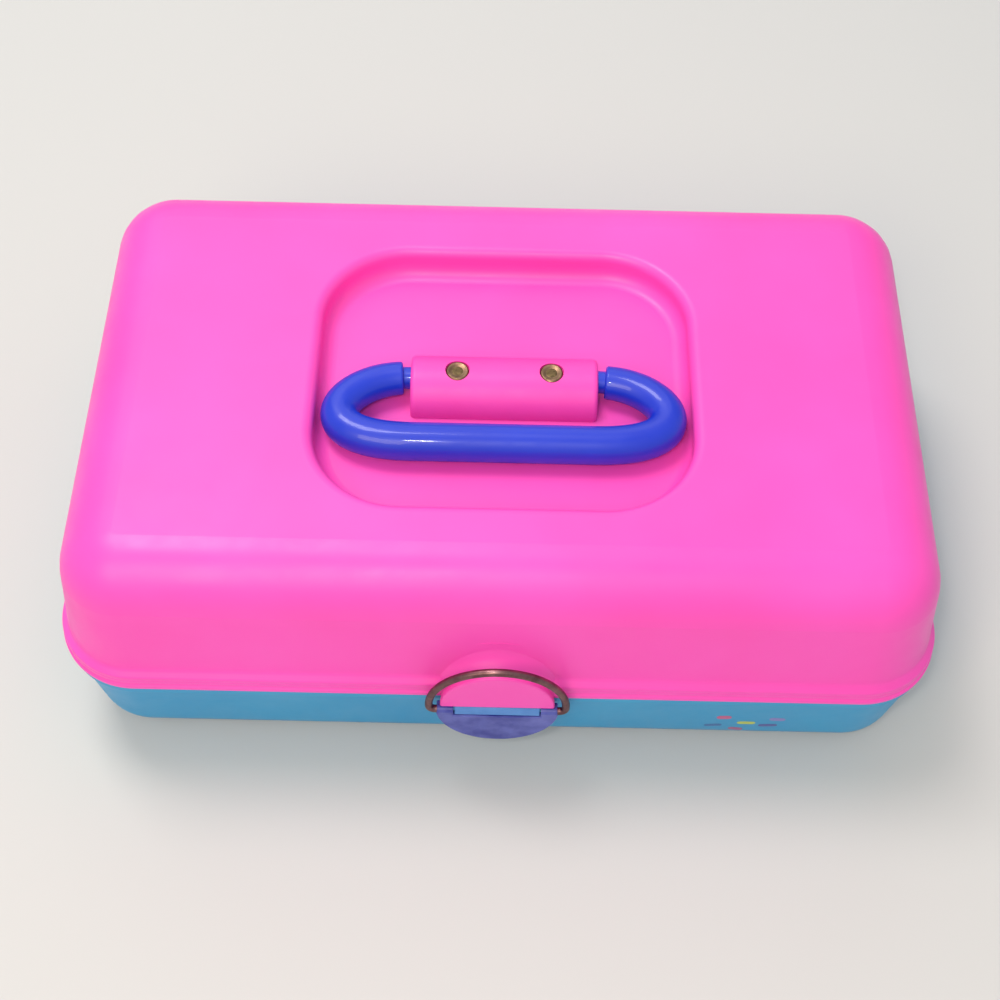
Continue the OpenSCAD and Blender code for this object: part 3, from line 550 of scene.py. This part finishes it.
# Rivets: a flat-topped head with a shallow dish, spun about its own axis; grime has settled in the dish
rivet = {"head": 4.0, "top": 101.1, "dish": 2.9, "dishFoot": 2.0, "depth": 0.4, "grime": 2.1, "grimeTop": 0.3,
         "grimeLow": 0.7, "shank": 2.0, "tail": 85.1, "tailRadius": 3.0, "tailHigh": 0.8}
tailTop, grimeFoot = rivet["tail"] + rivet["tailHigh"], rivet["top"] - rivet["grimeLow"]
rivetLine = roundLine([
    (0, rivet["top"] - rivet["depth"], 0), (rivet["dishFoot"], rivet["top"] - rivet["depth"], 0.6),
    (rivet["dish"], rivet["top"] - 0.1, 0.5), (rivet["head"] - 0.5, rivet["top"], 0.3),
    (rivet["head"], rivet["top"] - 0.35, 0.3), (rivet["head"], saddle["seat"], 0.1),
    (rivet["shank"], saddle["seat"], 0.1), (rivet["shank"], tailTop, 0.1),
    (rivet["tailRadius"], tailTop, 0.2), (rivet["tailRadius"], rivet["tail"], 0.3),
    (0, rivet["tail"], 0)], arcSteps=5)
addPiece("saddleRivets", atRivets(rivetLine, 56), tarnishedBrass, "lid", "rivet_brass", ["handle_rivets"])
grimeLine = roundLine([
    (0, rivet["top"] - rivet["grimeTop"], 0), (rivet["grime"], rivet["top"] - rivet["grimeTop"] - 0.06, 0.3),
    (rivet["grime"], grimeFoot, 0), (0, grimeFoot, 0)])
addPiece("rivetGrime", atRivets(grimeLine, 48), grimedBrass, "lid", "rivet_brass", ["handle_rivets"])
print("handle made")

# Bail: round wire over the keeper, its ends turned in to the tab's barrels
wire = {"radius": 1.35, "arch": 23.4, "archZ": 44.3, "bend": 2.2, "end": 15.6, "edge": 0.3}
archTop = wire["archZ"] + wire["arch"]
wireLegs = [(wire["end"], case["latchZ"], 0), (wire["arch"], case["latchZ"], wire["bend"]),
            (wire["arch"], archTop, wire["arch"])]
wireOtherLegs = [(-x, z, bend) for x, z, bend in wireLegs[::-1]]
wirePath = flatPath(wireLegs + wireOtherLegs, (0, case["latchY"], 0), east, up)
wireLength = np.linalg.norm(np.diff(wirePath, axis=0), axis=1).sum()
wireLine = roundLine([
    (0, 0, 0), (0, wire["radius"], wire["edge"]), (wireLength, wire["radius"], wire["edge"]),
    (wireLength, 0, 0)], longest=0.7)
addPiece("latchWire", [gridFaces(spinAlong(wirePath, north, wireLine, 24))],
         browned, "bail", "bail_bronze", ["latch_bail"])

# Pull tab: a half-round plate notched for the lug, with an edge behind it and two barrels that end its top corners
tab = {"radius": 21.0, "middle": 43.4, "top": 41.4, "face": -102.1, "back": -99.6, "edge": 2.6, "edgeWidth": 1.6,
       "notch": 15.0, "notchLow": 39.4, "barrel": 1.75, "barrelEnd": 20.6, "inset": 0.1, "drop": 0.25, "sunk": 0.6}


# Half a disc below a level: points along its arc from one end to the other
def underArc(radius, top, steps=64):
    reach = math.asin((top - tab["middle"]) / radius)
    angle = np.linspace(-math.pi - reach, reach, steps)
    return np.stack([np.cos(angle) * radius, tab["middle"] + np.sin(angle) * radius], 1)


tabOutline = np.vstack([underArc(tab["radius"], tab["top"]), [
    (tab["notch"], tab["top"]), (tab["notch"], tab["notchLow"]),
    (-tab["notch"], tab["notchLow"]), (-tab["notch"], tab["top"])]])
# The tab's violet carries a painted uneven sheen in its lighter and darker patches
addPiece("pullTab", [slab(tabOutline, -tab["back"], -tab["face"], origin, east, up, -north)],
         violetPlasticPaintedSheen, "tab", "tab_violet", ["latch_tab"], bevel=0.45)

# The edge behind the plate: a small closed section carried along the plate's outline
edgeOuter, edgeInner = (
    underArc(tab["radius"] - tab["inset"] - inward, tab["top"] - tab["drop"]) for inward in (0, tab["edgeWidth"]))
edgeFront, edgeBack = tab["back"] - tab["sunk"], tab["back"] + tab["edge"]
folded = roundLine([(0, edgeFront, 0), (0, edgeBack, 0.4), (1, edgeBack, 0.4), (1, edgeFront, 0)],
                   arcSteps=4, hold=0.05, closed=True)
edgeFlat = edgeOuter[None] + (edgeInner - edgeOuter)[None] * folded[:, None, :1]
edgeGrid = np.stack([edgeFlat[..., 0], np.repeat(folded[:, 1:2], len(edgeOuter), 1), edgeFlat[..., 1]], 2)
edgePoints, edgeFaces = gridFaces(edgeGrid, wrapRows=True, wrapColumns=False)
ends = np.arange(len(folded)) * len(edgeOuter)
edgeFaces += [ends.tolist(), (ends + len(edgeOuter) - 1)[::-1].tolist()]
addPiece("tabEdge", [(edgePoints, edgeFaces)], violetPlasticPaintedSheen, "tab", "tab_violet")
barrelLine = roundLine([
    (0, tab["notch"], 0), (tab["barrel"], tab["notch"], 0.2), (tab["barrel"], tab["barrelEnd"], 0.3),
    (0, tab["barrelEnd"], 0)], arcSteps=4)
addPiece("tabBarrels", bothSides(gridFaces(spinRound(barrelLine, (0, case["latchY"], case["latchZ"]), east, 32))),
         violetPlasticPaintedSheen, "tab", "tab_violet")
print("latch made")

# Hinges: eyes with a bore for the pin, and webs that join them to their moulding
hinge = {"eye": 3.4, "bore": 1.55, "length": 36.0, "gap": 0.3, "edge": 0.35, "round": 0.1, "bevel": 0.2}
eyeLength = (hinge["length"] - 2 * hinge["gap"]) / 3


# Hinge eyes at these places along a hinge, on both sides of the case, each with a web of this outline behind it
def hingeEyes(places, web):
    surfaces = []
    for place in places:
        middle = case["hingeX"] + place * (eyeLength + hinge["gap"])
        low, high = middle - eyeLength / 2, middle + eyeLength / 2
        line = roundLine([
            (hinge["bore"], low, hinge["round"]), (hinge["eye"], low, hinge["edge"]),
            (hinge["eye"], high, hinge["edge"]), (hinge["bore"], high, hinge["round"])], arcSteps=4, closed=True)
        eye = spinRound(line, (0, case["hingeY"], case["hingeZ"]), east, 40)
        surfaces += bothSides(gridFaces(eye, wrapRows=True))
        surfaces += bothSides(slab(web, low + hinge["edge"], high - hinge["edge"], origin, north, up, east))
    return surfaces


eyeTop, eyeBack = case["hingeZ"] + hinge["eye"] - hinge["round"], case["hingeY"]
lidWeb = [(95.2, case["part"]), (96.8, case["part"]), (96.8, 46.4), (eyeBack, eyeTop), (95.2, eyeTop)]     # y, z
baseWeb = [(94.9, case["rim"]), (96.8, case["rim"]), (eyeBack, 40.7), (93.2, 34.9)]
addPiece("lidHingeEyes", hingeEyes([0], lidWeb), pinkPlastic, "lid", "lid_pink", bevel=hinge["bevel"])
addPiece("baseHingeEyes", hingeEyes([-1, 1], baseWeb), bluePlastic, "base", "base_blue", bevel=hinge["bevel"])

# Bosses for the pins: posts inside the lid, bosses inside the base, short ones on the tray
boss = {"radius": 4.5, "edge": 0.5, "trayRadius": 4.0, "postIn": 134.3, "postOut": 148.3, "baseIn": 139.3,
        "baseOut": 148.4, "trayOut": 135.7}


# A round boss between two distances out along X, on both sides of the case
def bossAlongX(start, end, y, z, radius):
    line = roundLine([(0, start, 0), (radius, start, boss["edge"]), (radius, end, 0), (0, end, 0)], arcSteps=4)
    return bothSides(gridFaces(spinRound(line, (0, y, z), east, 36)))


link = {"lowY": 24.3, "lowZ": 32.0, "highY": -20.0, "highZ": 42.0, "lidY": 54.9, "lidZ": 54.0, "inner": 136.0,
        "outer": 139.0, "half": 5.0}
addPiece("lidTrayPosts", bossAlongX(boss["postIn"], boss["postOut"], link["lidY"], link["lidZ"], boss["radius"]),
         pinkPlastic, "lid", "lid_pink")
addPiece("baseArmBosses", bossAlongX(boss["baseIn"], boss["baseOut"], link["lowY"], link["lowZ"], boss["radius"]),
         bluePlastic, "base", "base_blue")

# Tray: a closed line from the floor over the rim and round the bottom, carried round the tray, with partitions
# and ears
tray = {"halfX": 121.0, "halfY": 62.0, "shift": -1.0, "corner": 13.0, "low": 26.0, "high": 50.0, "wall": 1.8,
        "round": 5.0, "rimRound": 0.8, "side": 134.0, "rib": 1.6, "ribTop": 47.0, "ribSunk": 0.5,
        "ribClip": 5.0, "split": 24.6, "front": -75.1, "pitch": 66.1, "earSunk": 2.0, "bevel": 0.3,
        "splitEnd": 133.0, "ribOver": 0.5}
trayFloor, trayIn = tray["low"] + tray["wall"], tray["corner"] - tray["wall"]
trayLine = roundLine([
    (0, trayFloor, 0, 2), (0, trayFloor, 0, 0), (trayIn, trayFloor, tray["round"] - tray["wall"], 0),
    (trayIn, tray["high"], tray["rimRound"], 0), (tray["corner"], tray["high"], tray["rimRound"], 0),
    (tray["corner"], tray["low"], tray["round"], 0), (0, tray["low"], 0, 0), (0, tray["low"], 0, 2)])
traySurfaces = [gridFaces(carryRound(
    trayLine, (tray["halfX"], tray["halfY"]), stations=ringStations(14, 12, 8), middle=(0, tray["shift"])))]
ribLow, ribClipTop = trayFloor - tray["ribSunk"], trayFloor - tray["ribSunk"] + tray["ribClip"]
splitEnd = tray["splitEnd"]
splitOutline = [
    (-splitEnd, tray["ribTop"]), (-splitEnd, ribClipTop), (-splitEnd + tray["ribClip"], ribLow),
    (splitEnd - tray["ribClip"], ribLow), (splitEnd, ribClipTop), (splitEnd, tray["ribTop"])]
traySurfaces.append(slab(splitOutline, tray["split"], tray["split"] + tray["rib"], origin, east, up, north))
ribEnd = tray["split"] + tray["ribOver"]
ribOutline = [
    (tray["front"], tray["ribTop"]), (tray["front"], ribClipTop), (tray["front"] + tray["ribClip"], ribLow),
    (ribEnd, ribLow), (ribEnd, tray["ribTop"])]
for n in (-1, 0, 1):
    ribX = n * tray["pitch"]
    traySurfaces.append(slab(ribOutline, ribX - tray["rib"] / 2, ribX + tray["rib"] / 2, origin, north, up, east))


# Half a circle of points about (y, z), from the angle called first
def halfRound(y, z, first=0):
    angle = first + np.linspace(0, math.pi, 24)
    return np.stack([y + np.cos(angle) * link["half"], z + np.sin(angle) * link["half"]], 1)


earLow = tray["high"] - tray["earSunk"]
earOutline = np.vstack([[(link["lidY"] - link["half"], earLow), (link["lidY"] + link["half"], earLow)],
                        halfRound(link["lidY"], link["lidZ"])])
earIn = tray["side"] - tray["wall"]
traySurfaces += bothSides(slab(earOutline, earIn, tray["side"], origin, north, up, east))
traySurfaces += bossAlongX(earIn, boss["trayOut"], link["highY"], link["highZ"], boss["trayRadius"])
addPiece("liftTray", traySurfaces, bluePlastic, "tray", "base_blue", ["tray"], bevel=tray["bevel"])

# Link arms: flat bars with round ends
armTilt = math.atan2(link["highZ"] - link["lowZ"], link["highY"] - link["lowY"])
farEnd = halfRound(link["highY"], link["highZ"], armTilt - math.pi / 2)
nearEnd = halfRound(link["lowY"], link["lowZ"], armTilt + math.pi / 2)
armBar = slab(np.vstack([farEnd, nearEnd]), link["inner"], link["outer"], origin, north, up, east)
addPiece("linkArmRight", [armBar], zincSteel, "arm_right", "pin_steel", ["link_arm_right"], bevel=0.35)
addPiece("linkArmLeft", [bothSides(armBar)[1]], zincSteel, "arm_left", "pin_steel", ["link_arm_left"], bevel=0.35)
print("tray and arms made")

# Mirror: a frame whose section is carried round its outline, and a plate of glass behind the frame's lip
mirror = {"halfX": 44.5, "halfY": 35.0, "corner": 14.0, "bar": 8.0, "lap": 3.0, "low": 80.5, "high": 86.7,
          "glass": 81.4, "glassTop": 84.0, "face": 1.4, "glassGap": 0.05}
frameIn = mirror["corner"] - mirror["bar"]
seatOut = frameIn + mirror["lap"]
frameLine = roundLine([
    (mirror["corner"], mirror["high"], 0.3, 0), (mirror["corner"], mirror["low"], mirror["face"], 0),
    (frameIn, mirror["low"], 0.5, 0), (frameIn, mirror["glass"], 0.15, 0), (seatOut, mirror["glass"], 0, 0),
    (seatOut, mirror["high"], 0.2, 0)], arcSteps=5, closed=True)
mirrorHalf, mirrorStations = (mirror["halfX"], mirror["halfY"]), ringStations(16, 10, 8)
addPiece("mirrorSurround", [gridFaces(carryRound(frameLine, mirrorHalf, stations=mirrorStations), wrapRows=True)],
         pinkPlastic, "lid", "lid_pink", ["mirror_frame"])
glassOut = seatOut - mirror["glassGap"]
glassLine = roundLine([
    (0, mirror["glass"], 0, 2), (0, mirror["glass"], 0, 0), (glassOut, mirror["glass"], 0.3, 0),
    (glassOut, mirror["glassTop"], 0.3, 0), (0, mirror["glassTop"], 0, 0), (0, mirror["glassTop"], 0, 2)], arcSteps=3)
addPiece("mirrorPlate", [gridFaces(carryRound(glassLine, mirrorHalf, stations=mirrorStations))],
         silveredGlass, "lid", "mirror_silver", ["mirror_glass"])

# The small steel fittings keep their CAD shapes
for node in frame["nodes"]:
    if "_pin" in node or node in ("rivet_washers", "mirror_screws"):
        fitting = frame["nodes"][node]
        fitting.data.materials.clear()
        fitting.data.materials.append(zincSteel)
print("mirror and fittings made")

# Printed specks on the front of the base: thin discs and short bars lying on the sloping wall
specks = [  # x, height, length, width, turn, colour
    (80.5, 24.0, 5.4, 3.4, 4, "#C8608F"), (77.5, 15.5, 6.4, 2.4, 10, "#4670AC"), (89.0, 18.6, 6.6, 2.8, 0, "#BFCB62"),
    (86.0, 12.0, 5.4, 2.6, -12, "#A8688F"), (99.5, 23.0, 5.8, 3.0, -6, "#8F86C8"),
    (97.0, 16.4, 6.8, 2.6, 6, "#5A5CA4")]
speckDepth = {"under": -0.3, "over": 0.05}
speckAngle = np.linspace(0, 2 * math.pi, 40, endpoint=False)
wallUp = np.array([0, -baseSlope, 1]) / math.hypot(baseSlope, 1)
wallOut = np.array([0, -1, -baseSlope]) / math.hypot(baseSlope, 1)
inks = {}
for number, (x, height, length, width, turnDegrees, ink) in enumerate(specks):
    if ink not in inks:
        # Pad-printed ink, matt, a little thinned so that its edge looks soft
        inks[ink] = mouldedPlastic("padPrintedInk" + ink[1:], {
            "colour": ink, "shade": ink, "ior": 1.5, "roughness": (0.45, 0.6), "driftGrain": 4, "rubGrain": 3,
            "peelGrain": 0.8, "peel": 0.15, "scratchLength": 6, "scratch": 0.05})
    spanX = np.cos(speckAngle) * width / 2 + np.sign(np.cos(speckAngle)) * (length - width) / 2
    spanY = np.sin(speckAngle) * width / 2
    cosine, sine = math.cos(math.radians(turnDegrees)), math.sin(math.radians(turnDegrees))
    flat = np.stack([spanX * cosine - spanY * sine, spanX * sine + spanY * cosine], 1)
    middle = (x, -case["cornerY"] - baseWall(height), height)
    disc = slab(flat, speckDepth["under"], speckDepth["over"], middle, east, wallUp, wallOut)
    addPiece("printedSpeck%d" % (number + 1), [disc], inks[ink], "base", "base_blue")
print("print made")

# Floor: one pale sheet that runs level under the case and curves up far behind it
room = {"colour": "#CFD0CE", "front": -2.5, "back": 2.2, "half": 4.0, "bend": 0.8, "rise": 3.0, "fibre": 6.0,
        "fibreHeight": 0.1, "sky": "#F2F5FA", "skyStrength": 0.66}     # lengths in metres, the fibres' in millimetres
floorLine = roundLine([(room["front"], 0, 0), (room["back"], 0, room["bend"]), (room["back"], room["rise"], 0)],
                      arcSteps=24, hold=0.02)
floorGrid = np.stack([np.repeat(np.array([[-room["half"], room["half"]]]), len(floorLine), 0),
                      np.repeat(floorLine[:, :1], 2, 1), np.repeat(floorLine[:, 1:2], 2, 1)], 2)
floorPoints, floorFaces = gridFaces(floorGrid, wrapColumns=False)
floorMesh = bpy.data.meshes.new("floor")
floorMesh.from_pydata(floorPoints.tolist(), [], [face[::-1] for face in floorFaces])
floorMesh.shade_smooth()
floor = bpy.data.objects.new("floor", floorMesh)
bpy.context.scene.collection.objects.link(floor)
# Pale matt paper with a faint fibre
paper, paperTree, paperPlace = newMaterial("paleMattPaper")
fibre = addNoise(paperTree, paperPlace, room["fibre"], 3.0)
paperSurface = addNode(paperTree, "ShaderNodeBsdfPrincipled", {}, {
    "Base Color": linearColour(room["colour"]), "Roughness": 0.85, "Specular IOR Level": 0.2,
    "Normal": addBump(paperTree, fibre, 0.05, room["fibreHeight"])})
addNode(paperTree, "ShaderNodeOutputMaterial", {}, {"Surface": paperSurface.outputs["BSDF"]})
floorMesh.materials.append(paper)

# Light: a pale room with a lamp on the ceiling to the left, a bright wall behind, a warmer window in front, and a
# small lamp near the camera that gives the sharp highlights on the handle
lamps = [  # name, place, aimed at, width, height, watts, colour
    ("ceiling", (-0.42, 0.36, 1.5), (-0.1, 0, 0.05), 0.5, 0.6, 11.0, "#FFF8F2"),
    ("wallBehind", (-0.3, 1.3, 1.15), (0, 0, 0.05), 1.8, 1.0, 5.0, "#F6F7FF"),
    ("windowFront", (-0.45, -1.0, 1.1), (0, 0, 0.05), 0.7, 0.6, 7.5, "#FFEAC8"),
    ("lampAtCamera", (-0.07, -0.42, 0.72), (0, 0, 0.07), 0.04, 0.04, 0.7, "#FFFFFF")]
for name, place, aim, width, height, watts, colour in lamps:
    lamp = bpy.data.lights.new(name, "AREA")
    lamp.shape, lamp.size, lamp.size_y, lamp.energy = "RECTANGLE", width, height, watts
    lamp.color = linearColour(colour)[:3]
    lampObject = bpy.data.objects.new(name, lamp)
    lampObject.location = place
    lampObject.rotation_euler = (Vector(aim) - Vector(place)).to_track_quat("-Z", "Y").to_euler()
    bpy.context.scene.collection.objects.link(lampObject)
world = bpy.data.worlds.new("paleRoom")
world.use_nodes = True
world.node_tree.nodes.clear()
sky = addNode(world.node_tree, "ShaderNodeBackground", {}, {
    "Color": linearColour(room["sky"]), "Strength": room["skyStrength"]})
addNode(world.node_tree, "ShaderNodeOutputWorld", {}, {"Surface": sky.outputs["Background"]})
bpy.context.scene.world = world
bpy.context.scene.view_settings.view_transform = "Standard"

# Camera at the photograph's place, found by fitting the case's outline
camera = {"place": (-0.00256, -0.36778, 0.55739), "right": (0.99974449, 0.01652227, 0.01542651),
          "above": (-0.02235395, 0.82396739, 0.56619612), "ahead": (0.0033561, 0.56639629, -0.82412619),
          "lens": 60.613, "sensor": 36.0, "near": 0.01, "far": 50.0}
cameraData = bpy.data.cameras.new("camera")
cameraData.lens, cameraData.sensor_width = camera["lens"], camera["sensor"]
cameraData.clip_start, cameraData.clip_end = camera["near"], camera["far"]
cameraObject = bpy.data.objects.new("camera", cameraData)
bpy.context.scene.collection.objects.link(cameraObject)
turn = Matrix([camera["right"], camera["above"], [-v for v in camera["ahead"]]]).transposed()
cameraObject.matrix_world = Matrix.Translation(camera["place"]) @ turn.to_4x4()
bpy.context.scene.camera = cameraObject
